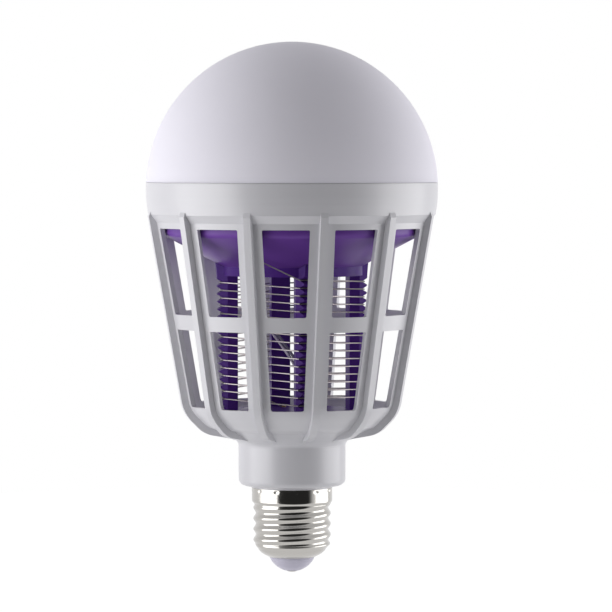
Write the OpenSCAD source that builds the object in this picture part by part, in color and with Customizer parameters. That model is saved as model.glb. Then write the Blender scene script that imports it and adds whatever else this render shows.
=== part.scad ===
// Insect killer light bulb: a frosted LED lamp above a caged, wire-wound insect grid, on an E27 base.
// Millimetres, +Z up, base down. The origin is on the axis, at the tip of the centre contact.
// A direction angle a means the point (r sin a, -r cos a): 0 is -Y and 90 is +X.

/* [Dome and ring] */
// Outer diameter of the frosted dome
dome_d = 99; // [96:0.5:104]
// Wall of the dome
dome_wall = 1.8; // [1.2:0.1:2.4]
// Height of the dome's edge above the centre of its sphere
dome_edge_rise = 2; // [0.5:0.1:3]
// Depth of the lip that plugs the dome into the ring
lip_h = 5; // [3:0.5:6]
// Wall of the lip
lip_wall = 1.4; // [1:0.1:2]
// How much smaller the ring's radius is at its lower edge
ring_taper = 0.75; // [0:0.05:1]
// Height of the ring
ring_h = 11; // [9:0.2:13]
// Wall of the ring
ring_wall = 2.1; // [1.8:0.1:2.6]

/* [Cage] */
// Number of ribs, and of windows in each row
rib_count = 12; // [10:2:14]
// Width of a rib
rib_w = 2.5; // [1.8:0.1:3.2]
// How far a rib stands out of the panels
rib_h = 2.3; // [1.5:0.1:2.8]
// Wall of the cage's panels
wall = 1.6; // [1.2:0.1:2]
// How far the ribs stand out of the ring's lower edge
rib_proud = 0.8; // [0:0.1:1]
// Height over which the ribs' tops fade into the ring
rib_fade = 2; // [0.5:0.1:3]
// Lean of the cage's side from the vertical, in degrees
cage_lean = 10.1; // [8:0.1:11]
// Height of the sloping ledge under the ring
ledge_h = 2.3; // [1.5:0.1:3]
// Panel between the ledge and the upper windows
top_strip_h = 2; // [1.5:0.1:3]
// Height of the upper windows
upper_window_h = 28.9; // [24:0.1:32]
// Height of the belt between the two rows of windows
belt_h = 5; // [3:0.1:7]
// Height of the lower windows
lower_window_h = 26.2; // [22:0.1:30]
// Panel between the lower windows and the bowl's curve
sill_h = 1.5; // [0.5:0.1:3]
// Panel left on each side of an upper window, beside the rib
upper_window_side = 2.9; // [2:0.1:3.4]
// Panel left on each side of a lower window, beside the rib
lower_window_side = 2.5; // [2:0.1:3]
// Radius of a window's lower corners
window_corner = 0.7; // [0.5:0.1:1.5]
// Radius of a window's upper corners
window_top_corner = 0.4; // [0.2:0.1:1]
// Upper radius of the bowl's outline
bowl_r1 = 12.5; // [11:0.1:14]
// Lower radius of the bowl's outline
bowl_r2 = 9; // [8:0.1:11]
// Straight length between the two radii
bowl_flat = 3.4; // [2:0.1:4.5]
// Rise of the bowl's lower edge above the neck's fillet
bowl_rise = 1.5; // [1:0.1:2.5]

/* [Neck] */
// Diameter of the neck
neck_d = 36.4; // [34:0.2:38]
// Height of the neck
neck_h = 13.4; // [12:0.2:17]
// Wall of the neck
neck_wall = 1.7; // [1.4:0.1:2]
// Radius where the neck runs into the bowl
neck_fillet = 2.4; // [1.5:0.1:3]
// Radius of the neck's lower corner
neck_corner = 2.2; // [1:0.1:2.5]

/* [Screw base] */
// Diameter over the thread's crests
thread_d = 26.4; // [25.8:0.1:26.4]
// Depth of the rolled thread
thread_depth = 0.85; // [0.7:0.05:1.1]
// Pitch of the thread
thread_pitch = 3.63; // [3.5:0.01:3.8]
// Height of the threaded part
thread_h = 14; // [12:0.5:16]
// Diameter of the skirt above the thread
skirt_d = 27.4; // [26.8:0.1:27.6]
// Height of the skirt
skirt_h = 6.2; // [5.5:0.1:7.5]
// Sheet thickness of the screw shell
shell_t = 0.4; // [0.3:0.05:0.45]
// Height of the cone under the thread
shell_cone_h = 3.5; // [3:0.1:4.5]
// Diameter of the insulator at the shell's lower edge
insulator_d = 15.4; // [14:0.2:17]
// Height of the insulator's dome
insulator_h = 4.7; // [4:0.1:6]
// Diameter of the centre contact
contact_d = 5; // [4.6:0.1:7]
// How far the centre contact stands out
contact_h = 0.5; // [0.3:0.1:0.8]
// Direction in which the thread starts, in degrees
thread_start = 230; // [0:5:360]
// Direction of the first crimp mark
crimp_turn = 9.5; // [0:0.5:30]
// Number of crimp marks round the skirt
crimp_count = 12; // [8:1:16]

/* [Tray and grid frame] */
// Depth of the tray's straight rim below its seat
tray_rim_h = 6.25; // [5.5:0.05:8]
// Rise of the tray's cone for each millimetre of radius
tray_slope = 0.53; // [0.45:0.01:0.55]
// Radius of the corner between the tray's rim and its cone
tray_corner = 2; // [1:0.1:3]
// Wall of the tray
tray_wall = 1.8; // [1.4:0.1:2.2]
// Thickness of the tray's flange
flange_t = 1.6; // [1.2:0.1:2]
// Height of the grid frame's hub
hub_h = 3.15; // [2.8:0.05:3.8]
// Depth of the pocket for the ultraviolet board
pocket_h = 2; // [1.8:0.1:2.2]
// Direction of the front post
post_turn = 14; // [8:0.5:16]
// Radius over the posts' ridges at the bottom
post_low_r = 25.1; // [24.8:0.1:25.6]
// How much farther out the ridges are under the hub
post_spread = 0.9; // [0.5:0.1:1.3]
// How much farther out again they are at the tray
post_flare = 0.4; // [0:0.1:0.8]
// Depth of a post, from its ridge inwards
post_depth = 5.8; // [5:0.1:6.4]
// Depth of the tapered part of a post's flanks
flank_depth = 2.3; // [1.8:0.1:3]
// How far the hub stays inside the posts' ridges
hub_step = 2.1; // [2:0.1:4]
// Width of a post
post_w = 6.6; // [5:0.1:7]
// Width of a post's ridge
ridge_w = 2; // [1.6:0.1:2.8]
// Depth of the notches
notch_depth = 1.6; // [1.3:0.1:1.7]
// Height from notch to notch
notch_pitch = 2.62; // [2.4:0.01:3]
// Drop from the hub to the first notch
notch_drop = 0.95; // [0.4:0.05:1.4]
// Diameter of the grid wire
wire_d = 0.5; // [0.4:0.05:0.55]
// Height of the bosses under the frame's base disc
boss_h = 2.4; // [2:0.1:3]
// Radius of those bosses
boss_r = 2.4; // [2.2:0.1:2.8]
// Land of the frame's base disc outside its bosses
disc_land = 1.1; // [0.6:0.1:2]
// Thickness of the frame's base disc
disc_t = 2; // [1.6:0.1:2.4]

/* [Lamp and driver] */
// Thickness of the lamp's metal plate
plate_t = 1.5; // [1:0.1:2]
// Space between the lamp's circuit board and the tray's screw heads
lamp_board_gap = 5.2; // [3:0.1:8]
// Thickness of the two light-emitter boards
board_t = 1.2; // [1:0.1:1.4]
// Number of emitters in the lamp's outer circle
outer_leds = 18; // [12:1:24]
// Number of emitters in the lamp's inner circle
inner_leds = 10; // [6:1:12]
// Number of ultraviolet emitters
uv_leds_n = 6; // [4:1:8]
// Thickness of the driver's circuit board
driver_t = 1.6; // [1.2:0.1:2]
// Height of the driver board's wide part
driver_h = 16; // [15.5:0.1:17]
// Length of the driver board's narrow part
driver_tail = 18; // [16:0.5:19]
// Diameter of the insulated leads
lead_d = 1.5; // [1.2:0.1:1.6]
// Diameter of the two lamp leads
lamp_lead_d = 1; // [0.8:0.1:1.2]
// Shank diameter of the screws
screw_d = 2; // [1.8:0.1:2.2]
// Head diameter of the screws
screw_head_d = 3.8; // [3.4:0.1:4]
// Shank diameter of the tray's screws
tray_screw_d = 1.6; // [1.4:0.1:1.8]
// Head diameter of the tray's screws
tray_screw_head_d = 3; // [2.6:0.1:3]
// Height of the screws' heads
screw_head_h = 1.2; // [0.8:0.1:1.3]
// Bite of the frame's and the tray's screws into the cage
screw_bite = 4; // [3:0.5:5]

/* [Clearances] */
// Gap between the dome's edge and the ring
seam_gap = 0.1; // [0.05:0.05:0.3]
// Radial clearance of pieces that plug together
fit = 0.15; // [0.1:0.05:0.2]
// Radial clearance of a screw in its hole
screw_fit = 0.05; // [0.03:0.01:0.1]
// Gap between the tray's rim and the cage
tray_gap = 0.45; // [0.3:0.05:0.6]
// Gap between the posts' tops and the tray's cone
post_gap = 0.1; // [0.05:0.05:0.3]

/* [Hidden] */
$fn = 96;
big = 400;
eps = 0.01;

// Heights, from the centre contact up
cone_low_z = contact_h + insulator_h;
thread_low_z = cone_low_z + shell_cone_h;
thread_top_z = thread_low_z + thread_h;
skirt_top_z = thread_top_z + skirt_h;
neck_seat = 0.7;
neck_low_z = skirt_top_z + neck_seat;
neck_top_z = neck_low_z + neck_h;
bowl_low_z = neck_top_z + neck_fillet + bowl_rise;

// Radii of the screw base
crest_r = thread_d / 2;
root_r = crest_r - thread_depth;
skirt_r = skirt_d / 2;
spigot_r = skirt_r - shell_t - fit;
spigot_bore_r = root_r - shell_t - 0.7;
neck_r = neck_d / 2;
neck_in_r = neck_r - neck_wall;
neck_floor_z = neck_low_z + neck_wall;
spigot_drop = 2.4;

// Rounds a derived size to 0.01 mm, so that the pieces meet on exact planes
function snap(v) = round(100 * v) / 100;

// Bowl outline: two arcs with a 45 degree flat between them, hung from the leaning side
bowl_end = 80;
c2_z = snap(bowl_low_z + bowl_r2 * sin(bowl_end));
c1_z = snap(c2_z - (bowl_r2 - bowl_r1) * sin(45) + bowl_flat * sin(45));
bowl_top_z = snap(c1_z - bowl_r1 * sin(cage_lean));

// Heights of the cage, from the bowl up
sill_z = bowl_top_z - sill_h;
belt_low_z = sill_z + lower_window_h;
belt_top_z = belt_low_z + belt_h;
belt_mid_z = belt_low_z + belt_h / 2;
strip_low_z = belt_top_z + upper_window_h;
ledge_low_z = strip_low_z + top_strip_h;
ring_low_z = ledge_low_z + ledge_h;
ring_top_z = ring_low_z + ring_h;
dome_low_z = ring_top_z + seam_gap;
dome_centre_z = dome_low_z - dome_edge_rise;
dome_r = dome_d / 2;
ring_low_r = dome_r - ring_taper;
ring_in_r = dome_r - ring_wall;

// Radius over the ribs at height z, and radius of the same side moved inwards by depth t
function side_r(z) = ring_low_r + rib_proud - (ring_low_z - z) * tan(cage_lean);
function inset_r(z, t) = side_r(z) - t / cos(cage_lean);
c1_x = side_r(bowl_top_z) - bowl_r1 * cos(cage_lean);
c2_x = c1_x - (bowl_r2 - bowl_r1) * cos(45) - bowl_flat * cos(45);
skin_t = rib_h + wall;
bowl_floor_z = c2_z - (bowl_r2 - skin_t);

function arc(cx, cz, r, a0, a1, n) =
    [for (i = [0:n]) let (a = a0 + (a1 - a0) * i / n) [cx + r * cos(a), cz + r * sin(a)]];
function reversed(list) = [for (i = [len(list) - 1:-1:0]) list[i]];
function polar(r, a, z) = [r * sin(a), -r * cos(a), z];

// The two bowl arcs, moved inwards by t, from the side down to the floor
function bowl_arcs(t) = concat(
    arc(c1_x, c1_z, bowl_r1 - t, -cage_lean, -45, 6),
    arc(c2_x, c2_z, bowl_r2 - t, -45, -bowl_end, 6));

// Tray, hub and posts
seat_drop = 0.4;
seat_z = ring_low_z - seat_drop;
flange_r = ring_in_r - fit;
rim_low_z = seat_z - tray_rim_h;
rim_r = snap(inset_r(rim_low_z, skin_t) - tray_gap);
post_top_r = post_low_r + post_spread;
post_flare_r = post_top_r + post_flare;
post_in_r = post_low_r - post_depth;
post_flank_r = post_low_r - flank_depth;
hub_r = post_top_r - hub_step;
hub_top_z = snap(rim_low_z - (rim_r - hub_r) * tray_slope);
hub_low_z = hub_top_z - hub_h;
tray_floor_z = hub_top_z + tray_wall;
pocket_r = post_in_r - 1;
pocket_top_z = hub_low_z + pocket_h;
disc_low_z = bowl_floor_z + boss_h;
disc_top_z = disc_low_z + disc_t;
boss_at = neck_in_r + boss_r;
disc_r = boss_at + boss_r + disc_land;
post_angles = [for (k = [0:3]) post_turn + 90 * k];
boss_angles = [for (a = post_angles) a + 45];

// Winding: two wires share the notches, each sinking two notches a turn
first_notch_z = hub_low_z - notch_drop;
lead_per_turn = 2 * notch_pitch;
lowest_notch_z = disc_top_z + 2.6;
turns = floor((first_notch_z - lowest_notch_z) / lead_per_turn);
notch_rows = 2 * turns;
function ridge_r(z) =
    post_low_r + (post_top_r - post_low_r) * (z - disc_top_z) / (hub_low_z - disc_top_z);
wire_seat = 0.03;
function wire_r(z) = ridge_r(z) - notch_depth + wire_d / 2 + wire_seat;
// Half the width of a post at radius r
function post_half(r) =
    post_w / 2 - (post_w - ridge_w) / 2 * (r - post_flank_r) / (post_top_r - post_flank_r);
// How far past a post's middle line the wire bends to the next post
function corner_t(z) = post_half(ridge_r(z) - notch_depth) + 0.12;
last_turn_z = first_notch_z - lead_per_turn * turns;

// Point on a post: radius r and sideways distance t from the middle line of the post at angle a
function on_post(a, r, t, z) = [r * sin(a) + t * cos(a), -r * cos(a) + t * sin(a), z];

// Corners of a winding that starts on post k0 and takes quarter turns from post to post
function winding(k0) = [for (q = [0:4 * turns], side = [-1, 1])
    let (z = first_notch_z - lead_per_turn * q / 4)
    on_post(post_turn + 90 * (k0 + q), wire_r(z), side * corner_t(z), z)];

// Lamp plate and boards
plate_low_z = seat_z + flange_t;
plate_top_z = plate_low_z + plate_t;
lamp_board_top_z = plate_top_z + board_t;
plate_r = flange_r - 0.4;
led_size = [2.8, 3.5, 0.8];
tray_screw_angles = [for (k = [0, 4, 8]) (k + 0.5) * 360 / rib_count];
hub_screw_r = 0.718 * post_in_r;
hub_screw_angles = [30, 150, 270];
tray_screw_r = ring_in_r - tray_screw_head_d / 2 - 0.15;
lamp_board_r = tray_screw_r - tray_screw_head_d / 2 - lamp_board_gap;
lamp_screw_r = 0.69 * lamp_board_r;
lamp_screw_angles = [20, 140, 260];
uv_board_r = pocket_r - 0.5;
flush_head_r = 1.8;
flush_head_h = 1.1;

// Driver board: it stands across the neck, a little behind the axis, on the neck's floor
driver_y = 3;
driver_front = driver_y - driver_t / 2;
driver_back = driver_y + driver_t / 2;
driver_top_z = neck_floor_z + driver_h;
driver_low_z = neck_floor_z - driver_tail;
driver_half = sqrt(pow(neck_in_r, 2) - pow(driver_back, 2)) - 0.4;
tail_half = sqrt(pow(spigot_bore_r, 2) - pow(driver_back, 2)) - 0.4;
guide_w = 1.2;
guide_reach = 1.4;

// Leads
lead_r = lead_d / 2;
lamp_lead_r = lamp_lead_d / 2;
lead_hole_r = lamp_lead_r + 0.25;
wire_hole_r = wire_d / 2 + 0.2;
terminal_r = 0.8;
terminal_at = 0.744 * post_in_r;
terminal_low_z = disc_low_z - 1;
terminal_top_z = disc_top_z + 0.5;
lamp_lead_gap = 0.3;
lamp_lead_step = lamp_lead_d + lamp_lead_gap;
// Where the pair of lamp leads leaves the hub and enters the base disc
lead_top = post_in_r * [-0.749, -0.41];
lead_low = post_in_r * [0.38, -0.564];
lead_y = driver_front - lamp_lead_r - 0.1;
grid_span = hub_low_z - disc_top_z;
lead_route = [
    [lead_top[0], lead_top[1], lamp_board_top_z + 1],
    [lead_top[0], lead_top[1], hub_low_z - 1],
    [-0.62 * post_in_r, -0.55 * post_in_r, hub_low_z - 0.24 * grid_span],
    [0.03 * post_in_r, -0.93 * post_in_r, hub_low_z - 0.6 * grid_span],
    [0.338 * post_in_r, -0.77 * post_in_r, hub_low_z - 0.86 * grid_span],
    [lead_low[0], lead_low[1], disc_top_z + 0.8],
    [lead_low[0], lead_low[1], driver_top_z + 2.4],
    [lead_low[0], lead_y, driver_top_z - 0.5],
    [lead_low[0], lead_y, driver_top_z - 3]
];
// Holes in the tray's cone through which the ends of the winding go up
start_hole_r = 0.78 * rim_r;
start_hole_turn = -23.5;

// Small vector helpers for tubes
function unit(v) = v / norm(v);
function any_normal(v) = unit(abs(v[2]) < 0.8 * norm(v) ? cross(v, [0, 0, 1]) : cross(v, [1, 0, 0]));

// Frames carried along a path without twist; each ring lies in the mitre plane of its corner
function tangent_at(p, i) =
    i == 0 ? unit(p[1] - p[0])
    : i == len(p) - 1 ? unit(p[i] - p[i - 1])
    : unit(unit(p[i] - p[i - 1]) + unit(p[i + 1] - p[i]));
function carried(n, t) = unit(n - (n * t) * t);
function normals(p, i = 0, n = undef, done = []) =
    i == len(p) ? done
    : let (t = tangent_at(p, i), m = carried(i == 0 ? any_normal(t) : n, t))
      normals(p, i + 1, m, concat(done, [m]));
function mitre(p, i) =
    i == 0 || i == len(p) - 1 ? 1 : 1 / max(0.6, unit(p[i] - p[i - 1]) * tangent_at(p, i));

// Round tube along a path of points
module tube(path, r, sides) {
    n = normals(path);
    last = len(path) - 1;
    points = [for (i = [0:last], s = [0:sides - 1])
        let (
            t = tangent_at(path, i),
            u = n[i],
            v = cross(t, u),
            turn = i == 0 || i == last ? u : bend_axis(path, i),
            ring = r * (cos(360 * s / sides) * u + sin(360 * s / sides) * v),
            out = cross(t, turn),
            grow = mitre(path, i) - 1
        )
        path[i] + ring + grow * (ring * out) * out];
    sides_faces = [for (i = [0:last - 1], s = [0:sides - 1], half = [0, 1])
        let (
            a = i * sides + s,
            b = i * sides + (s + 1) % sides,
            c = a + sides,
            d = b + sides
        )
        half == 0 ? [a, c, b] : [b, c, d]];
    caps = [
        [for (s = [0:sides - 1]) s],
        [for (s = [sides - 1:-1:0]) last * sides + s]
    ];
    polyhedron(points, concat(sides_faces, caps));
}

// Axis about which a path bends at point i
function bend_axis(p, i) =
    let (c = cross(unit(p[i] - p[i - 1]), unit(p[i + 1] - p[i])))
    norm(c) < 0.001 ? any_normal(tangent_at(p, i)) : unit(c);

// A path with each inner corner cut by a short arc
function eased(p, r) = concat(
    [p[0]],
    [for (i = [1:len(p) - 2], s = [0:2])
        let (
            back = unit(p[i - 1] - p[i]),
            on = unit(p[i + 1] - p[i]),
            cut = min(r, norm(p[i - 1] - p[i]) / 2.2, norm(p[i + 1] - p[i]) / 2.2),
            k = s / 2
        )
        p[i] + cut * (pow(1 - k, 2) * back + pow(k, 2) * on)],
    [p[len(p) - 1]]);

module at_angles(angles, r, z) {
    for (a = angles)
        translate(polar(r, a, z)) rotate([0, 0, a]) children();
}

module diffuser_dome() {
    lip_r = ring_in_r - fit;
    lip_top_z = dome_low_z + dome_wall;
    color([0.92, 0.91, 0.96]) {
        difference() {
            translate([0, 0, dome_centre_z]) sphere(r = dome_r, $fn = 128);
            translate([0, 0, dome_centre_z]) sphere(r = dome_r - dome_wall, $fn = 128);
            translate([0, 0, dome_low_z - big / 2]) cube([big, big, big], center = true);
        }
        difference() {
            union() {
                translate([0, 0, dome_low_z - lip_h]) cylinder(r = lip_r, h = lip_h + dome_wall);
                translate([0, 0, dome_low_z]) cylinder(r = dome_r - dome_wall / 2, h = dome_wall / 2);
            }
            translate([0, 0, dome_low_z - lip_h - 1])
                cylinder(r = lip_r - lip_wall, h = lip_top_z - dome_low_z + lip_h + 2);
        }
    }
}

// Section of the housing without its ribs: ring, leaning panel, bowl, neck and spigot
function housing_section() =
    let (
        outer = [
            [dome_r - 0.1, ring_top_z], [dome_r, ring_top_z - 0.6], [dome_r - 0.05, dome_centre_z - 3],
            [dome_r - 0.3 * ring_taper, ring_low_z + 0.35 * ring_h], [ring_low_r, ring_low_z + 0.3],
            [ring_low_r - 0.3, ring_low_z],
            [inset_r(ledge_low_z, rib_h), ledge_low_z]
        ],
        fillet = arc(neck_r + neck_fillet, neck_top_z, neck_fillet, 90, 180, 5),
        corner = arc(neck_r - neck_corner, neck_low_z + neck_corner, neck_corner, 0, -80, 5),
        spigot = [
            [spigot_r + shell_t + fit, neck_low_z], [spigot_r + shell_t + fit, skirt_top_z],
            [spigot_r, skirt_top_z], [spigot_r, thread_top_z + spigot_drop + 0.8],
            [spigot_r - 0.8, thread_top_z + spigot_drop], [spigot_bore_r, thread_top_z + spigot_drop]
        ],
        inner = concat(
            [[spigot_bore_r, neck_floor_z], [neck_in_r, neck_floor_z], [neck_in_r, bowl_floor_z]],
            reversed(arc(c2_x, c2_z, bowl_r2 - skin_t, -45, -90, 7)),
            reversed(arc(c1_x, c1_z, bowl_r1 - skin_t, -cage_lean, -45, 6)),
            [[inset_r(seat_z, skin_t), seat_z], [ring_in_r, seat_z], [ring_in_r, ring_top_z]])
    )
    concat(outer, bowl_arcs(rib_h), fillet, corner, spigot, inner);

// Section of the band that the ribs are cut from: it sinks into the panels and the ring's wall
function rib_section() =
    let (sunk = rib_h + wall / 2, top = ring_low_z + rib_fade, under = seat_z - 0.2)
    concat(
        [[ring_low_r - 0.1, top], [side_r(ring_low_z - 0.3), ring_low_z - 0.3]],
        bowl_arcs(0),
        [[neck_r + 1, neck_top_z + neck_fillet - 0.1], [neck_r + 1.5, bowl_floor_z - wall / 2]],
        reversed(bowl_arcs(sunk)),
        [[inset_r(under, sunk), under], [ring_in_r + 0.3, under], [ring_in_r + 0.3, top]]);

// Window outline between two heights, narrower where the cage is: x across, y up
function window_outline(low, high, side) =
    let (
        pitch = 360 / rib_count,
        half_low = inset_r(low, rib_h) * sin(pitch / 2) - rib_w / 2 - side,
        half_high = inset_r(high, rib_h) * sin(pitch / 2) - rib_w / 2 - side,
        c = window_corner,
        t = window_top_corner
    )
    concat(
        arc(half_low - c, low + c, c, -90, 0, 3),
        arc(half_high - t, high - t, t, 0, 90, 2),
        arc(t - half_high, high - t, t, 90, 180, 2),
        arc(c - half_low, low + c, c, 180, 270, 3));

module window_cut(low, high, side) {
    near_r = inset_r(low, skin_t) - 6;
    translate([0, -near_r, 0]) rotate([90, 0, 0])
        linear_extrude(dome_r - near_r) polygon(window_outline(low, high, side));
}

// Ring, ribs, belt, bowl, neck and spigot in one, before the windows are cut
module cage_body() {
    rotate_extrude() polygon(housing_section());
    intersection() {
        rotate_extrude() polygon(rib_section());
        union() for (k = [0:rib_count / 2 - 1])
            rotate([0, 0, (k + 0.5) * 360 / rib_count])
                translate([-rib_w / 2, -big / 2, 0]) cube([rib_w, big, ring_top_z]);
    }
}

// A row of windows, one between each two ribs
module window_row(low, high, side) {
    for (k = [0:rib_count - 1]) rotate([0, 0, k * 360 / rib_count]) window_cut(low, high, side);
}

// Upper part of the cage, down to the middle of the belt
module cage_housing() {
    color([0.86, 0.86, 0.88]) difference() {
        cage_body();
        translate([0, 0, belt_mid_z - big / 2]) cube([big, big, big], center = true);
        window_row(belt_top_z, strip_low_z, upper_window_side);
        at_angles(tray_screw_angles, tray_screw_r, seat_z - 5)
            cylinder(r = tray_screw_d / 2 + screw_fit, h = 6, $fn = 32);
    }
}

// Lower part of the cage, with the bowl, the neck, the spigot and what they carry inside
module cage_bowl() {
    color([0.86, 0.86, 0.88]) difference() {
        union() {
            cage_body();
            at_angles(boss_angles, boss_at, bowl_floor_z - 0.5) cylinder(r = boss_r, h = boss_h + 0.5);
            board_guides();
        }
        translate([0, 0, belt_mid_z + big / 2]) cube([big, big, big], center = true);
        window_row(sill_z, belt_low_z, lower_window_side);
        at_angles(boss_angles, boss_at, disc_low_z - screw_bite - 0.4)
            cylinder(r = screw_d / 2 + screw_fit, h = screw_bite + 2, $fn = 32);
    }
}

// Two pairs of upright guides in the neck, with the driver board's edges between them
module board_guides() {
    slot = driver_t + 2 * fit;
    reach_x = driver_half - guide_reach;
    intersection() {
        translate([0, 0, neck_floor_z - 0.5]) cylinder(r = neck_in_r + 0.5, h = driver_h + 0.5);
        for (side = [0, 1]) mirror([side, 0, 0]) for (y = [driver_y - slot / 2 - guide_w, driver_y + slot / 2])
            translate([reach_x, y, neck_floor_z - 0.5]) cube([big, guide_w, driver_h]);
    }
}

module lamp_tray() {
    fall = atan(tray_slope);
    roll = tray_corner * tan((90 - fall) / 2);
    corner = arc(rim_r - tray_corner, rim_low_z + roll, tray_corner, fall - 90, 0, 5);
    inner_rim = rim_r - tray_wall;
    color([0.42, 0.28, 0.62]) difference() {
        rotate_extrude() polygon(concat(
            [[0, hub_top_z], [hub_r, hub_top_z]],
            corner,
            [[rim_r, seat_z], [flange_r, seat_z], [flange_r, plate_low_z], [inner_rim, plate_low_z]],
            [[inner_rim, rim_low_z + tray_wall * 1.1], [hub_r, tray_floor_z], [0, tray_floor_z]]));
        at_angles(tray_screw_angles, tray_screw_r, seat_z - 1)
            cylinder(r = tray_screw_d / 2 + screw_fit, h = flange_t + 2, $fn = 32);
        at_angles(hub_screw_angles, hub_screw_r, hub_top_z - 1)
            cylinder(r = screw_d / 2 + screw_fit, h = tray_wall + 2, $fn = 32);
        lamp_lead_holes(hub_top_z - 1, tray_wall + 2, lead_top);
        at_angles([start_hole_turn, start_hole_turn + 180], start_hole_r, hub_top_z)
            cylinder(r = wire_hole_r, h = rim_low_z - hub_top_z + tray_wall, $fn = 24);
    }
}

// One oval hole for the two lamp leads
module lamp_lead_holes(z, h, at) {
    for (x = [0, lamp_lead_step])
        translate([at[0] + x, at[1], z]) cylinder(r = lead_hole_r, h = h, $fn = 32);
    translate([at[0], at[1] - lead_hole_r, z]) cube([lamp_lead_step, 2 * lead_hole_r, h]);
}

// Rounded V that is cut across a post at each notch, drawn with the radius along x
function notch_outline() =
    let (
        d = notch_depth,
        half = [[-eps, wire_d / 2 + 0.05], [0.25 * d, 0.19 * notch_pitch], [0.5 * d, 0.27 * notch_pitch],
            [0.75 * d, 0.35 * notch_pitch], [0.95 * d, 0.44 * notch_pitch], [1.1 * d, 0.5 * notch_pitch - 0.02]]
    )
    concat([for (p = half) [p[0], -p[1]]], reversed(half));

module post(k) {
    a = post_angles[k];
    // The side posts' notches lie half a row lower than those at the front and back
    rows_low = k % 2 == 0 ? 0 : 0.5;
    under_tray = hub_top_z - post_gap;
    difference() {
        intersection() {
            rotate([0, 0, a - 90]) translate([0, 0, disc_low_z + disc_t / 2])
                linear_extrude(big) polygon([
                    [post_in_r, -post_w / 2], [post_flank_r, -post_w / 2],
                    [post_flare_r + 0.4, -post_half(post_flare_r + 0.4)],
                    [post_flare_r + 0.4, post_half(post_flare_r + 0.4)],
                    [post_flank_r, post_w / 2], [post_in_r, post_w / 2]
                ]);
            rotate_extrude() polygon([
                [0, disc_low_z], [ridge_r(disc_low_z), disc_low_z], [post_top_r, hub_low_z],
                [post_flare_r, under_tray + (post_flare_r - hub_r) * tray_slope],
                [hub_r, under_tray], [0, under_tray]
            ]);
        }
        for (row = [0:notch_rows])
            let (z = first_notch_z - (row + rows_low) * notch_pitch)
            rotate([0, 0, a - 90]) translate([ridge_r(z) - notch_depth, 0, z])
                rotate([90, 0, 0]) translate([0, 0, -post_w])
                    linear_extrude(2 * post_w) polygon(notch_outline());
    }
}

module grid_frame() {
    color([0.36, 0.22, 0.56]) difference() {
        union() {
            translate([0, 0, hub_low_z]) cylinder(r = hub_r, h = hub_h);
            translate([0, 0, disc_low_z]) cylinder(r = disc_r, h = disc_t);
            for (k = [0:3]) post(k);
        }
        translate([0, 0, hub_low_z - 1]) cylinder(r = pocket_r, h = pocket_h + 1);
        at_angles(hub_screw_angles, hub_screw_r, hub_low_z)
            cylinder(r = screw_d / 2 + screw_fit, h = hub_h + 1, $fn = 32);
        at_angles(boss_angles, boss_at, disc_low_z - 1)
            cylinder(r = screw_d / 2 + screw_fit, h = disc_t + 2, $fn = 32);
        at_angles(boss_angles, boss_at, disc_top_z - 0.1 - flush_head_h)
            cylinder(r1 = screw_d / 2 + screw_fit, r2 = flush_head_r + screw_fit, h = flush_head_h - 0.2, $fn = 32);
        at_angles(boss_angles, boss_at, disc_top_z - 0.3 - eps)
            cylinder(r = flush_head_r + screw_fit, h = 1, $fn = 32);
        at_angles([post_turn, post_turn + 180], terminal_at, disc_low_z - 1)
            cylinder(r = terminal_r + screw_fit, h = disc_t + 2, $fn = 32);
        lamp_lead_holes(hub_low_z, hub_h + 1, lead_top);
        lamp_lead_holes(disc_low_z - 1, disc_t + 2, lead_low);
    }
}

// A winding with its upper end led up through the tray and its lower end led to a terminal
function wire_path(k0) =
    let (
        turned = 180 * k0 / 2,
        z_end = last_turn_z,
        a = post_turn + 90 * k0,
        cone_z = hub_top_z + (start_hole_r - hub_r) * tray_slope
    )
    concat(
        [polar(start_hole_r, start_hole_turn + turned, cone_z + tray_wall),
            polar(start_hole_r, start_hole_turn + turned, cone_z - 0.9)],
        winding(k0),
        [on_post(a, post_in_r + 1, post_w / 2 + 2.4, z_end - 0.4),
            on_post(a, terminal_at + 0.9, terminal_r + wire_d / 2, disc_top_z + wire_d / 2 + 0.15),
            on_post(a, terminal_at - 1.2, terminal_r + wire_d / 2, disc_top_z + wire_d / 2 + 0.05)]);

module grid_wire(k0) {
    color([0.78, 0.76, 0.72]) tube(wire_path(k0), wire_d / 2, 6);
}

module led_plate() {
    color([0.8, 0.81, 0.83]) difference() {
        translate([0, 0, plate_low_z]) cylinder(r = plate_r, h = plate_t);
        at_angles(tray_screw_angles, tray_screw_r, plate_low_z - 1)
            cylinder(r = tray_screw_d / 2 + screw_fit, h = plate_t + 2, $fn = 32);
        at_angles(lamp_screw_angles, lamp_screw_r, plate_low_z - 1)
            cylinder(r = screw_d / 2 + screw_fit, h = plate_t + 2, $fn = 32);
        lamp_lead_holes(plate_low_z - 1, plate_t + 2, lead_top);
    }
}

module led_board() {
    color([0.95, 0.95, 0.93]) difference() {
        translate([0, 0, plate_top_z]) cylinder(r = lamp_board_r, h = board_t);
        at_angles(lamp_screw_angles, lamp_screw_r, plate_top_z - 1)
            cylinder(r = screw_d / 2 + screw_fit, h = board_t + 2, $fn = 32);
        lamp_lead_holes(plate_top_z - 1, board_t + 2, lead_top);
    }
}

module led_ring(n, r, z) {
    for (k = [0:n - 1]) translate(polar(r, (k + 0.5) * 360 / n, z)) rotate([0, 0, (k + 0.5) * 360 / n])
        translate([-led_size[0] / 2, -led_size[1] / 2, 0]) cube(led_size);
}

module white_leds() {
    color([0.98, 0.9, 0.5]) {
        led_ring(outer_leds, 0.87 * lamp_board_r, lamp_board_top_z);
        led_ring(inner_leds, 0.51 * lamp_board_r, lamp_board_top_z);
    }
}

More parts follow.
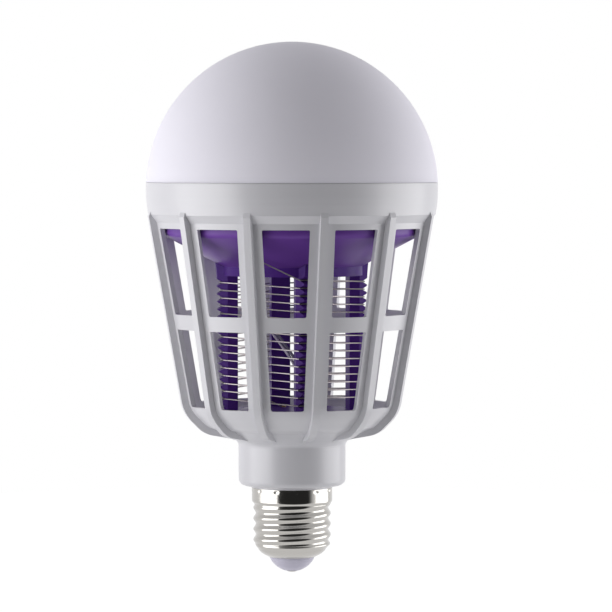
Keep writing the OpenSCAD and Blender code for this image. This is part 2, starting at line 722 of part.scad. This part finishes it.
// Pan-head screw with its seat at z = 0, pointing down
module screw(length, d = screw_d, head_d = screw_head_d) {
    translate([0, 0, -length]) cylinder(d = d, h = length, $fn = 32);
    rotate_extrude($fn = 32) polygon([
        [0, 0], [head_d / 2, 0], [head_d / 2, 0.55 * screw_head_h],
        [0.36 * head_d, screw_head_h], [0, screw_head_h]
    ]);
}

module led_board_screws() {
    color([0.75, 0.75, 0.77]) at_angles(lamp_screw_angles, lamp_screw_r, lamp_board_top_z)
        screw(plate_t + board_t - 0.2);
}

module tray_screws() {
    color([0.75, 0.75, 0.77]) at_angles(tray_screw_angles, tray_screw_r, plate_top_z)
        screw(plate_t + flange_t + screw_bite, tray_screw_d, tray_screw_head_d);
}

module hub_screws() {
    color([0.75, 0.75, 0.77]) at_angles(hub_screw_angles, hub_screw_r, pocket_top_z - board_t)
        mirror([0, 0, 1]) screw(board_t + hub_h - pocket_h + tray_wall - 0.2);
}

// Countersunk screw with the top of its head at z = 0, pointing down
module flush_screw(length) {
    rotate_extrude($fn = 32) polygon([
        [0, 0], [flush_head_r, 0], [flush_head_r, -0.2], [screw_d / 2, -flush_head_h], [screw_d / 2, -length], [0, -length]
    ]);
}

module frame_screws() {
    color([0.75, 0.75, 0.77]) at_angles(boss_angles, boss_at, disc_top_z - 0.1) flush_screw(disc_t + screw_bite);
}

module uv_board() {
    color([0.93, 0.93, 0.95]) difference() {
        translate([0, 0, pocket_top_z - board_t]) cylinder(r = uv_board_r, h = board_t);
        at_angles(hub_screw_angles, hub_screw_r, hub_low_z)
            cylinder(r = screw_d / 2 + screw_fit, h = hub_h, $fn = 32);
        lamp_lead_holes(hub_low_z, hub_h, lead_top);
    }
}

module uv_leds() {
    color([0.6, 0.45, 0.85]) led_ring(uv_leds_n, 0.385 * post_in_r, pocket_top_z - board_t - led_size[2]);
}

module wire_terminals() {
    color([0.8, 0.65, 0.35]) at_angles([post_turn, post_turn + 180], terminal_at, terminal_low_z)
        cylinder(r = terminal_r, h = terminal_top_z - terminal_low_z, $fn = 32);
}

// Leads from the two terminals down to the driver board, one to each face
module hv_lead_live() {
    from = polar(terminal_at, post_turn, terminal_low_z - 0.1);
    y = driver_front - lead_r - 0.1;
    color([0.8, 0.2, 0.18]) tube(eased([
        from, [from[0], from[1], driver_top_z + 1.6], [-1.5, y, driver_top_z + 1.2], [-1.5, y, driver_top_z - 2.5]
    ], 1.2), lead_r, 8);
}

module hv_lead_return() {
    from = polar(terminal_at, post_turn + 180, terminal_low_z - 0.1);
    y = driver_back + lead_r + 0.1;
    color([0.15, 0.15, 0.17]) tube(eased([
        from, [from[0], from[1], driver_top_z + 1.6], [-1.5, y + 1, driver_top_z + 0.5], [-1.5, y, driver_top_z - 2.5]
    ], 1.2), lead_r, 8);
}

module lamp_lead(step) {
    tube(eased([for (p = lead_route) p + [step, 0, 0]], 2.5), lamp_lead_r, 8);
}

module lamp_lead_positive() {
    color([0.9, 0.9, 0.9]) lamp_lead(0);
}

module lamp_lead_negative() {
    color([0.45, 0.45, 0.48]) lamp_lead(lamp_lead_step);
}

module driver_board() {
    color([0.16, 0.42, 0.22]) {
        translate([-driver_half, driver_front, neck_floor_z]) cube([2 * driver_half, driver_t, driver_h]);
        translate([-tail_half, driver_front, driver_low_z])
            cube([2 * tail_half, driver_t, driver_tail + eps]);
    }
}

// Transformer on the board's front face: a closed core round an upright winding
core_size = [14, 6, 12];
core_leg = 2.5;
core_mid = 4;
core_x = -6.2;
core_z = neck_floor_z + 1.5;
winding_y = 10;

module transformer_core() {
    window_w = (core_size[0] - core_mid) / 2 - core_leg;
    color([0.2, 0.2, 0.21]) translate([core_x - core_size[0] / 2, driver_front - winding_y / 2 - core_size[1] / 2, core_z])
        difference() {
            cube(core_size);
            for (x = [core_leg, core_size[0] - core_leg - window_w])
                translate([x, -1, core_leg]) cube([window_w, core_size[1] + 2, core_size[2] - 2 * core_leg]);
        }
}

module transformer_winding() {
    h = core_size[2] - 2 * core_leg - 0.3;
    w = core_size[0] - 2 * core_leg - 0.2;
    color([0.85, 0.75, 0.25]) translate([core_x, driver_front - winding_y / 2, core_z + core_leg + 0.15])
        difference() {
            translate([-w / 2, -winding_y / 2, 0]) cube([w, winding_y, h]);
            translate([-core_mid / 2 - 0.1, -core_size[1] / 2 - 0.1, -1])
                cube([core_mid + 0.2, core_size[1] + 0.2, h + 2]);
        }
}

module bulk_capacitor() {
    color([0.12, 0.12, 0.16]) translate([6.8, driver_front, neck_floor_z + 5.5]) rotate([90, 0, 0])
        cylinder(d = 8, h = 10.5);
}

module film_capacitors() {
    color([0.7, 0.3, 0.15]) for (z = [2.5, 9.5])
        translate([-5.6, driver_front - 4.5, neck_floor_z - 1 - z - 5]) cube([6.5, 4.5, 5]);
}

module rectifier_diodes() {
    color([0.1, 0.1, 0.1]) for (x = [-4.5, 1.5], z = [3, 9])
        translate([x, driver_back, neck_floor_z - z - 2.6]) cube([4.3, 2.2, 2.6]);
}

module hv_resistors() {
    color([0.55, 0.7, 0.8]) for (z = [3, 7, 11])
        translate([-11, driver_back + 1.35, neck_floor_z + z]) rotate([0, 90, 0])
            cylinder(d = 2.4, h = 6.3, $fn = 32);
}

module controller_chip() {
    color([0.08, 0.08, 0.09]) translate([4, driver_back, neck_floor_z + 5]) cube([4.9, 1.5, 3.9]);
}

module fusible_resistor() {
    color([0.35, 0.5, 0.4]) translate([4.6, driver_front - 1.75, neck_floor_z - 14])
        cylinder(d = 3.2, h = 9, $fn = 32);
}

// Rolled sheet shell: exact skirt and cone, joined by a thread that is a true helix
function thread_r(z, a) =
    let (
        fade = min(1, (z - thread_low_z) / 1.2, (thread_top_z - z) / 1.6),
        wave = cos(360 * z / thread_pitch - a - thread_start)
    )
    root_r + thread_depth * (0.5 + 0.5 * max(0, fade) * (1.05 * wave - 0.05 * cos(2 * a)));

module screw_shell() {
    low_r = insulator_d / 2 + shell_t;
    mid_r = root_r + thread_depth / 2;
    over = 0.6;
    crimp_r = 1;
    crimp_depth = 0.28;
    skirt_steps = [
        [mid_r, thread_top_z - over], [skirt_r - 0.6, thread_top_z + 0.5], [skirt_r - 0.15, thread_top_z + 1.3],
        [skirt_r, thread_top_z + 2.2], [skirt_r, skirt_top_z]
    ];
    // Shares of the cone's width and height, from its upper edge
    cone_steps = [for (p = [[0.11, 0], [0.24, 0.21], [0.32, 0.4], [0.465, 0.6], [0.66, 0.79], [1, 1]])
        [mid_r - p[0] * (mid_r - low_r), thread_low_z - p[1] * shell_cone_h]];
    color([0.78, 0.77, 0.74]) {
        difference() {
            rotate_extrude() polygon(concat(
                [for (p = skirt_steps) [p[0], p[1]]],
                [for (i = [len(skirt_steps) - 1:-1:0]) [skirt_steps[i][0] - shell_t, skirt_steps[i][1]]]));
            at_angles([for (k = [0:crimp_count - 1]) crimp_turn + k * 360 / crimp_count],
                skirt_r + crimp_r - crimp_depth, skirt_top_z - 1.6) sphere(r = crimp_r, $fn = 24);
        }
        rotate_extrude() polygon(concat(
            [[mid_r, thread_low_z + over]],
            cone_steps,
            [[low_r - shell_t, cone_low_z]],
            [for (i = [len(cone_steps) - 2:-1:0]) cone_steps[i] + shell_t * [-0.8, 0.55]],
            [[mid_r - shell_t, thread_low_z + over]]));
        thread_skin();
    }
}

// Hollow helical skin between the skirt and the cone
module thread_skin() {
    around = 36;
    rows = 30;
    inset = 0.05;
    levels = [for (j = [0:rows]) thread_low_z + thread_h * j / rows];
    edge = [0, rows];
    points = concat(
        [for (j = [0:rows], s = [0:around - 1])
            let (a = 360 * s / around, r = thread_r(levels[j], a) - (j == 0 || j == rows ? inset : 0))
            [r * cos(a), r * sin(a), levels[j]]],
        [for (j = [0:rows], s = [0:around - 1])
            let (a = 360 * s / around, r = thread_r(levels[j], a) - shell_t + (j == 0 || j == rows ? inset : 0))
            [r * cos(a), r * sin(a), levels[j]]]);
    inner = (rows + 1) * around;
    skin = [for (j = [0:rows - 1], s = [0:around - 1])
        let (a = j * around + s, b = j * around + (s + 1) % around) each [
            [a, a + around, b], [b, a + around, b + around],
            [inner + a, inner + b, inner + a + around], [inner + b, inner + b + around, inner + a + around]
        ]];
    ends = [for (s = [0:around - 1])
        let (t = (s + 1) % around, top = rows * around) each [
            [s, t, inner + s], [t, inner + t, inner + s],
            [top + s, inner + top + s, top + t], [top + t, inner + top + s, inner + top + t]
        ]];
    polyhedron(points, concat(skin, ends));
}

module shell_insulator() {
    r = insulator_d / 2;
    h = insulator_h;
    z0 = contact_h;
    // Shares of the insulator's radius and height
    steps = [[0.39, 0], [0.487, 0.075], [0.643, 0.22], [0.753, 0.362], [0.909, 0.65], [0.97, 0.83], [1, 1]];
    color([0.8, 0.79, 0.88]) difference() {
        union() {
            rotate_extrude() polygon(concat(
                [[0, z0]],
                [for (p = steps) [p[0] * r, z0 + p[1] * h]],
                [[0, z0 + h]]));
            translate([0, 0, cone_low_z - eps]) cylinder(r = r - fit, h = 1.6);
        }
        translate([0, 0, z0 - 1]) cylinder(d = contact_d + 0.1, h = 1.5, $fn = 48);
        translate([0, 0, z0 - 1]) cylinder(r = 1.1, h = h + 4, $fn = 32);
    }
}

module contact_button() {
    r = contact_d / 2;
    color([0.45, 0.44, 0.42]) {
        rotate_extrude($fn = 48) polygon([
            [0, 0], [0.5 * r, 0], [0.68 * r, 0.15], [r, contact_h], [r, contact_h + 0.4], [0, contact_h + 0.4]
        ]);
        cylinder(r = 1, h = cone_low_z + 2, $fn = 32);
    }
}

module live_lead() {
    y = driver_front - lead_r - 0.1;
    top_z = cone_low_z + 2;
    color([0.75, 0.15, 0.12]) tube(eased([
        [2, y, driver_low_z + 4], [2, y, driver_low_z - 0.5], [0, 0, top_z + 2.2], [0, 0, top_z + 0.1]
    ], 1), lead_r, 8);
}

module neutral_lead() {
    y = driver_front - lead_r - 0.1;
    x = root_r - shell_t - lead_r - 0.2;
    color([0.15, 0.2, 0.5]) tube(eased([
        [-7, y, driver_low_z + 5], [-7, y, driver_low_z + 0.5], [-x, 0, driver_low_z + 0.5], [-x, 0, thread_top_z - 1.5]
    ], 1), lead_r, 8);
}

diffuser_dome();
cage_housing();
cage_bowl();
lamp_tray();
grid_frame();
grid_wire(0);  // grid_wire_live
grid_wire(2);  // grid_wire_return
led_plate();
led_board();
white_leds();
led_board_screws();
tray_screws();
hub_screws();
frame_screws();
uv_board();
uv_leds();
wire_terminals();
hv_lead_live();
hv_lead_return();
lamp_lead_positive();
lamp_lead_negative();
driver_board();
transformer_core();
transformer_winding();
bulk_capacitor();
film_capacitors();
rectifier_diodes();
hv_resistors();
controller_chip();
fusible_resistor();
screw_shell();
shell_insulator();
contact_button();
live_lead();
neutral_lead();
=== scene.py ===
import math
import bmesh
import bpy
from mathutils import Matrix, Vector


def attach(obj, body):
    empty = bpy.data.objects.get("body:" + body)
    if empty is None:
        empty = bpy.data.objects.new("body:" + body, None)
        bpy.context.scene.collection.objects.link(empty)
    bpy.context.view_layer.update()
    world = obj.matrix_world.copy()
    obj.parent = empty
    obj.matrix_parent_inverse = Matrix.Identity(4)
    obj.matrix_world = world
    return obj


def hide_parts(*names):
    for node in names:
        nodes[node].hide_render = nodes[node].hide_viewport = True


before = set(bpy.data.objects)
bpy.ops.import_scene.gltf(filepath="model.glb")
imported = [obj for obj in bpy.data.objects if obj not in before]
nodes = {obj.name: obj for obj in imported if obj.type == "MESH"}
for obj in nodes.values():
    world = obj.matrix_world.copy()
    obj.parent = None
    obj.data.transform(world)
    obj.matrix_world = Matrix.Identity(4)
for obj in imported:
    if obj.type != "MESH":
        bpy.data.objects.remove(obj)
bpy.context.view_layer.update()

MM = 0.001
scene = bpy.context.scene


# Camera: a long lens, a little round to the right of the bulb and a little above its middle
def make_camera():
    distance = 1.1536
    height = 0.13996
    round_by = math.radians(2.5)
    aim_aside = math.radians(-0.236)
    aim_down = math.radians(2.459)
    data = bpy.data.cameras.new("camera")
    data.sensor_width = 36
    data.lens = 200
    data.clip_start = 0.05
    data.clip_end = 50
    cam = bpy.data.objects.new("camera", data)
    cam.location = (distance * math.sin(round_by), -distance * math.cos(round_by), height)
    cam.rotation_euler = (math.pi / 2 - aim_down, 0, round_by + aim_aside)
    scene.collection.objects.link(cam)
    scene.camera = cam


# A node of the given kind in a node tree, with its inputs set by name
def node_in(tree, kind, **values):
    node = tree.nodes.new(kind)
    for name, value in values.items():
        node.inputs[name.replace("_", " ")].default_value = value
    return node


# A node in a node tree that does one sum on its inputs
def math_in(tree, operation):
    node = tree.nodes.new("ShaderNodeMath")
    node.operation = operation
    return node


# World: white to the camera, soft light all round, less from above and dark in a wide cone at the front
def make_world():
    soft_colour = (0.99, 0.985, 1.0, 1)
    matte_level = 0.70
    cone_turn = math.radians(-8)
    cone_core_y, cone_rim_y = -0.74, -0.46
    cone_level = 0.03
    dim_from_z = 0.2
    top_level = 0.6
    world = bpy.data.worlds.new("studio")
    scene.world = world
    world.use_nodes = True
    tree = world.node_tree
    tree.nodes.clear()
    out = tree.nodes.new("ShaderNodeOutputWorld")
    mix = tree.nodes.new("ShaderNodeMixShader")
    path = tree.nodes.new("ShaderNodeLightPath")
    coord = tree.nodes.new("ShaderNodeTexCoord")
    split = tree.nodes.new("ShaderNodeSeparateXYZ")
    white = node_in(tree, "ShaderNodeBackground", Color=(1, 1, 1, 1), Strength=1)
    soft = node_in(tree, "ShaderNodeBackground", Color=soft_colour)
    front = node_in(tree, "ShaderNodeMapRange", From_Min=cone_core_y, From_Max=cone_rim_y,
                    To_Min=cone_level, To_Max=1.0)
    front.interpolation_type = "SMOOTHSTEP"
    level = node_in(tree, "ShaderNodeMapRange", To_Min=matte_level, To_Max=1.0)
    above = node_in(tree, "ShaderNodeMapRange", From_Min=dim_from_z, From_Max=1.0,
                    To_Min=1.0, To_Max=top_level)
    mirrored = math_in(tree, "MAXIMUM")
    lowered = math_in(tree, "MULTIPLY")
    strength = math_in(tree, "MULTIPLY")
    turn = node_in(tree, "ShaderNodeVectorRotate", Angle=cone_turn)
    turn.rotation_type = "Z_AXIS"
    join = tree.links.new
    join(coord.outputs["Generated"], turn.inputs["Vector"])
    join(turn.outputs["Vector"], split.inputs[0])
    join(split.outputs["Y"], front.inputs["Value"])
    join(split.outputs["Z"], above.inputs["Value"])
    join(path.outputs["Is Glossy Ray"], mirrored.inputs[0])
    join(path.outputs["Is Transmission Ray"], mirrored.inputs[1])
    join(mirrored.outputs[0], level.inputs["Value"])
    join(level.outputs["Result"], lowered.inputs[0])
    join(above.outputs["Result"], lowered.inputs[1])
    join(front.outputs["Result"], strength.inputs[0])
    join(lowered.outputs[0], strength.inputs[1])
    join(strength.outputs[0], soft.inputs["Strength"])
    join(path.outputs["Is Camera Ray"], mix.inputs["Fac"])
    join(soft.outputs[0], mix.inputs[1])
    join(white.outputs[0], mix.inputs[2])
    join(mix.outputs[0], out.inputs["Surface"])


# A large soft lamp that faces the middle of the bulb
def soft_box(name, place, size, power):
    lamp_colour = (1.0, 0.995, 1.0)
    bulb_middle = Vector((0, 0, 0.09))
    data = bpy.data.lights.new(name, "AREA")
    data.shape = "RECTANGLE"
    data.size, data.size_y = size
    data.energy = power
    data.color = lamp_colour
    lamp = bpy.data.objects.new(name, data)
    lamp.location = place
    lamp.rotation_euler = (bulb_middle - Vector(place)).to_track_quat("-Z", "Y").to_euler()
    scene.collection.objects.link(lamp)


# Floor: a round white sheet under the bulb that shows white to the camera and matte to the light
def make_floor():
    reach = 0.3
    drop = 0.0003
    sides = 64
    glow_strength = 1.09
    glow_share_lit, glow_share_seen = 0.3, 0.9
    matte_colour = (0.8, 0.8, 0.8, 1)
    mesh = bpy.data.meshes.new("floor")
    turns = [2 * math.pi * k / sides for k in range(sides)]
    mesh.from_pydata([(reach * math.cos(a), reach * math.sin(a), -drop) for a in turns], [], [range(sides)])
    floor = bpy.data.objects.new("floor", mesh)
    scene.collection.objects.link(floor)
    mat = bpy.data.materials.new("floor_white")
    mat.use_nodes = True
    tree = mat.node_tree
    tree.nodes.clear()
    out = tree.nodes.new("ShaderNodeOutputMaterial")
    mix = tree.nodes.new("ShaderNodeMixShader")
    path = tree.nodes.new("ShaderNodeLightPath")
    glow = node_in(tree, "ShaderNodeEmission", Color=(1, 1, 1, 1), Strength=glow_strength)
    matte = node_in(tree, "ShaderNodeBsdfDiffuse", Color=matte_colour)
    seen = math_in(tree, "MAXIMUM")
    share = node_in(tree, "ShaderNodeMapRange", To_Min=glow_share_lit, To_Max=glow_share_seen)
    join = tree.links.new
    join(path.outputs["Is Camera Ray"], seen.inputs[0])
    join(path.outputs["Is Transmission Ray"], seen.inputs[1])
    join(seen.outputs[0], share.inputs["Value"])
    join(share.outputs["Result"], mix.inputs["Fac"])
    join(matte.outputs[0], mix.inputs[1])
    join(glow.outputs[0], mix.inputs[2])
    join(mix.outputs[0], out.inputs["Surface"])
    mesh.materials.append(mat)
    floor.visible_glossy = False


# Material with a fine grain: bump follows a fine noise, and colour and roughness a cloudy one
def grained(name, colour, rough, grain_mm=0.4, bump=0.15, vary=0.03, rough_vary=0.08, metal=0.0,
            coat=0.0, subsurface=0.0, spec=0.5):
    cloud_mm = 14.0
    bump_mm = 0.05
    scatter_mm = 4
    mat = bpy.data.materials.new(name)
    mat.use_nodes = True
    tree = mat.node_tree
    bsdf = tree.nodes["Principled BSDF"]
    bsdf.inputs["Metallic"].default_value = metal
    bsdf.inputs["IOR"].default_value = 1.5
    bsdf.inputs["Specular IOR Level"].default_value = spec
    bsdf.inputs["Coat Weight"].default_value = coat
    bsdf.inputs["Coat Roughness"].default_value = 0.12
    if subsurface:
        bsdf.inputs["Subsurface Weight"].default_value = subsurface
        bsdf.inputs["Subsurface Radius"].default_value = (1.0, 1.0, 1.0)
        bsdf.inputs["Subsurface Scale"].default_value = scatter_mm * MM
    coord = tree.nodes.new("ShaderNodeTexCoord")
    fine = node_in(tree, "ShaderNodeTexNoise", Scale=1 / (grain_mm * MM), Detail=3)
    cloud = node_in(tree, "ShaderNodeTexNoise", Scale=1 / (cloud_mm * MM), Detail=4)
    ramp = node_in(tree, "ShaderNodeMapRange", From_Min=0.3, From_Max=0.7,
                   To_Min=rough - rough_vary, To_Max=rough + rough_vary)
    mixer = tree.nodes.new("ShaderNodeMix")
    mixer.data_type = "RGBA"
    mixer.inputs["A"].default_value = (*[max(0, c * (1 - vary)) for c in colour], 1)
    mixer.inputs["B"].default_value = (*[min(1, c * (1 + vary)) for c in colour], 1)
    bumper = node_in(tree, "ShaderNodeBump", Strength=bump, Distance=bump_mm * MM)
    join = tree.links.new
    join(coord.outputs["Object"], fine.inputs["Vector"])
    join(coord.outputs["Object"], cloud.inputs["Vector"])
    join(cloud.outputs["Fac"], ramp.inputs["Value"])
    join(ramp.outputs["Result"], bsdf.inputs["Roughness"])
    join(cloud.outputs["Fac"], mixer.inputs["Factor"])
    join(mixer.outputs["Result"], bsdf.inputs["Base Color"])
    join(fine.outputs["Fac"], bumper.inputs["Height"])
    join(bumper.outputs["Normal"], bsdf.inputs["Normal"])
    return mat


# Give a material to the named nodes
def dress(names, mat):
    for name in names.split():
        obj = nodes[name]
        obj.data.materials.clear()
        obj.data.materials.append(mat)


# A smooth-shaded piece of the bulb, made from its points and faces
def piece(name, verts, faces, mat):
    mesh = bpy.data.meshes.new(name)
    mesh.from_pydata(verts, [], faces)
    mesh.validate()
    bm = bmesh.new()
    bm.from_mesh(mesh)
    bmesh.ops.recalc_face_normals(bm, faces=bm.faces)
    bm.to_mesh(mesh)
    bm.free()
    for face in mesh.polygons:
        face.use_smooth = True
    mesh.materials.append(mat)
    obj = bpy.data.objects.new(name, mesh)
    scene.collection.objects.link(obj)
    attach(obj, "root")
    return obj


# Radius at height z on straight lines through points (z, r), each with z rising
def radius_at(points, z):
    if z <= points[0][0]:
        return points[0][1]
    for (z0, r0), (z1, r1) in zip(points, points[1:]):
        if z <= z1:
            return r0 + (r1 - r0) * (z - z0) / (z1 - z0)
    return points[-1][1]


# The same radius with the corners rounded off: the mean over a short stretch
def rounded_at(points, z):
    spread = 0.25
    return sum(radius_at(points, z + spread * k / 3) for k in range(-3, 4)) / 7


# Rings of points at the given heights, joined into a shell that closes from the last ring to the first
def lathe(rows, around, radius):
    verts = []
    faces = []
    for j, row in enumerate(rows):
        for s in range(around):
            a = 2 * math.pi * s / around
            r = radius(j, a)
            verts.append((r * math.cos(a) * MM, r * math.sin(a) * MM, row * MM))
    for j in range(len(rows)):
        k = (j + 1) % len(rows)
        for s in range(around):
            t = (s + 1) % around
            faces.append((j * around + s, j * around + t, k * around + t, k * around + s))
    return verts, faces


# Screw shell with its full thread and pressed crimp marks, in millimetres
def make_screw_shell(mat):
    sheet = 0.4
    low_z, top_z = 5.2, 28.9
    root_r, skirt_r = 12.775, 13.7
    thread_low_z, thread_top_z, thread_end_z = 8.7, 22.7, 23.9
    thread_pitch = 3.63
    thread_half_depth = 0.425
    run_in, run_out = 1.2, 1.6
    crimp_z, crimp_r, crimp_depth = 28.0, 0.8, 0.3
    crimp_step = math.radians(30)
    first_crimp = math.radians(-80.5)
    around = 144
    cone = [(low_z, 8.1), (5.94, 9.69), (6.6, 10.6), (7.3, 11.28), (7.97, 11.65), (thread_low_z, 12.26)]
    flare = [(22.6, root_r), (23.4, 13.1), (24.0, 13.6), (24.4, skirt_r), (top_z, skirt_r)]
    side = cone + [(9.3, root_r)] + flare

    def thread(z, a):
        fade = max(0, min(1, (z - thread_low_z) / run_in, (thread_end_z - z) / run_out))
        return thread_half_depth * fade * math.cos(2 * math.pi * z / thread_pitch - a - math.pi)

    def crimp(z, a):
        off = (a - first_crimp + crimp_step / 2) % crimp_step - crimp_step / 2
        away = min(1, math.hypot(off * skirt_r, z - crimp_z) / crimp_r)
        return crimp_depth * (1 - away ** 2) ** 2

    def outer(z, a):
        return rounded_at(side, z) + thread(z, a) - crimp(z, a)

    def inner(z, a):
        wave = thread(z, a) if thread_low_z <= z <= thread_top_z else 0
        return rounded_at(side, z) + wave - sheet

    thread_levels = [low_z + 0.13 * k for k in range(158)]
    skirt_levels = [25.7 + 0.16 * k for k in range(20)]
    levels = thread_levels + skirt_levels + [top_z]
    rows = levels + levels[::-1]

    def radius(j, a):
        return outer(rows[j], a) if j < len(levels) else inner(rows[j], a)

    verts, faces = lathe(rows, around, radius)
    shell = piece("screw_shell_rolled", verts, faces, mat)
    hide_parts("screw_shell")


make_camera()
make_world()
make_floor()
soft_box("key_left", (-0.85, -0.32, 0.04), (1.0, 0.9), 6.6)
soft_box("fill_right", (0.90, 0.16, 0.04), (0.9, 0.8), 4.6)

dome = grained("frosted_dome", (0.90, 0.88, 0.985), 0.65, grain_mm=0.25, bump=0.1, vary=0.01,
               rough_vary=0.02, subsurface=0.3, spec=0.12)
white = grained("white_housing", (0.66, 0.657, 0.69), 0.32, grain_mm=0.35, bump=0.12, vary=0.01,
                rough_vary=0.015, spec=0.8)
tray = grained("violet_tray", (0.155, 0.055, 0.34), 0.34, grain_mm=0.4, bump=0.12, vary=0.03,
               rough_vary=0.015, spec=0.22)
violet = grained("violet_frame", (0.085, 0.025, 0.24), 0.4, grain_mm=0.4, bump=0.12, vary=0.03,
                 rough_vary=0.015, spec=0.12)
wire = grained("grid_wire", (0.36, 0.33, 0.33), 0.38, grain_mm=0.3, bump=0.1, vary=0.05, metal=1.0)
plate = grained("lamp_plate", (0.78, 0.79, 0.81), 0.35, metal=1.0, vary=0.03)
board = grained("white_board", (0.86, 0.86, 0.84), 0.4, vary=0.02)
phosphor = grained("white_emitter", (0.86, 0.72, 0.25), 0.5, vary=0.03)
violet_led = grained("violet_emitter", (0.55, 0.42, 0.78), 0.2, vary=0.03)
steel = grained("screw_steel", (0.62, 0.62, 0.64), 0.3, metal=1.0, vary=0.05)
brass = grained("terminal_brass", (0.72, 0.52, 0.25), 0.3, metal=1.0, vary=0.06)
red = grained("red_insulation", (0.55, 0.06, 0.05), 0.42, vary=0.04)
black = grained("black_insulation", (0.03, 0.03, 0.035), 0.42, vary=0.08)
pale = grained("white_insulation", (0.50, 0.44, 0.56), 0.42, vary=0.03)
grey = grained("grey_insulation", (0.16, 0.13, 0.22), 0.42, vary=0.04)
blue = grained("blue_insulation", (0.05, 0.08, 0.34), 0.42, vary=0.04)
green = grained("green_board", (0.04, 0.22, 0.08), 0.3, vary=0.06, coat=0.3)
ferrite = grained("ferrite", (0.05, 0.05, 0.055), 0.6, vary=0.1, bump=0.3)
tape = grained("winding_tape", (0.78, 0.60, 0.10), 0.35, vary=0.04)
can = grained("capacitor_can", (0.03, 0.03, 0.06), 0.3, vary=0.06)
film = grained("film_case", (0.45, 0.14, 0.05), 0.35, vary=0.06)
epoxy = grained("black_epoxy", (0.025, 0.025, 0.027), 0.5, vary=0.08)
lacquer = grained("resistor_body", (0.35, 0.50, 0.62), 0.4, vary=0.04)
nickel = grained("cap_metal", (0.50, 0.487, 0.458), 0.16, grain_mm=0.5, bump=0.08, vary=0.04, metal=1.0)
vitreous = grained("cap_insulator", (0.62, 0.60, 0.72), 0.3, vary=0.03)
contact = grained("contact_metal", (0.30, 0.28, 0.26), 0.4, metal=1.0, vary=0.08)

dress("diffuser_dome", dome)
dress("cage_housing cage_bowl", white)
dress("lamp_tray", tray)
dress("grid_frame", violet)
dress("grid_wire_live grid_wire_return", wire)
dress("led_plate", plate)
dress("led_board uv_board", board)
dress("white_leds", phosphor)
dress("uv_leds", violet_led)
dress("led_board_screws tray_screws hub_screws frame_screws", steel)
dress("wire_terminals", brass)
dress("hv_lead_live live_lead", red)
dress("hv_lead_return", black)
dress("lamp_lead_positive", pale)
dress("lamp_lead_negative", grey)
dress("neutral_lead", blue)
dress("driver_board", green)
dress("transformer_core", ferrite)
dress("transformer_winding", tape)
dress("bulk_capacitor", can)
dress("film_capacitors", film)
dress("rectifier_diodes controller_chip", epoxy)
dress("hv_resistors fusible_resistor", lacquer)
make_screw_shell(nickel)
dress("shell_insulator", vitreous)
dress("contact_button", contact)

scene.view_settings.view_transform = "Standard"
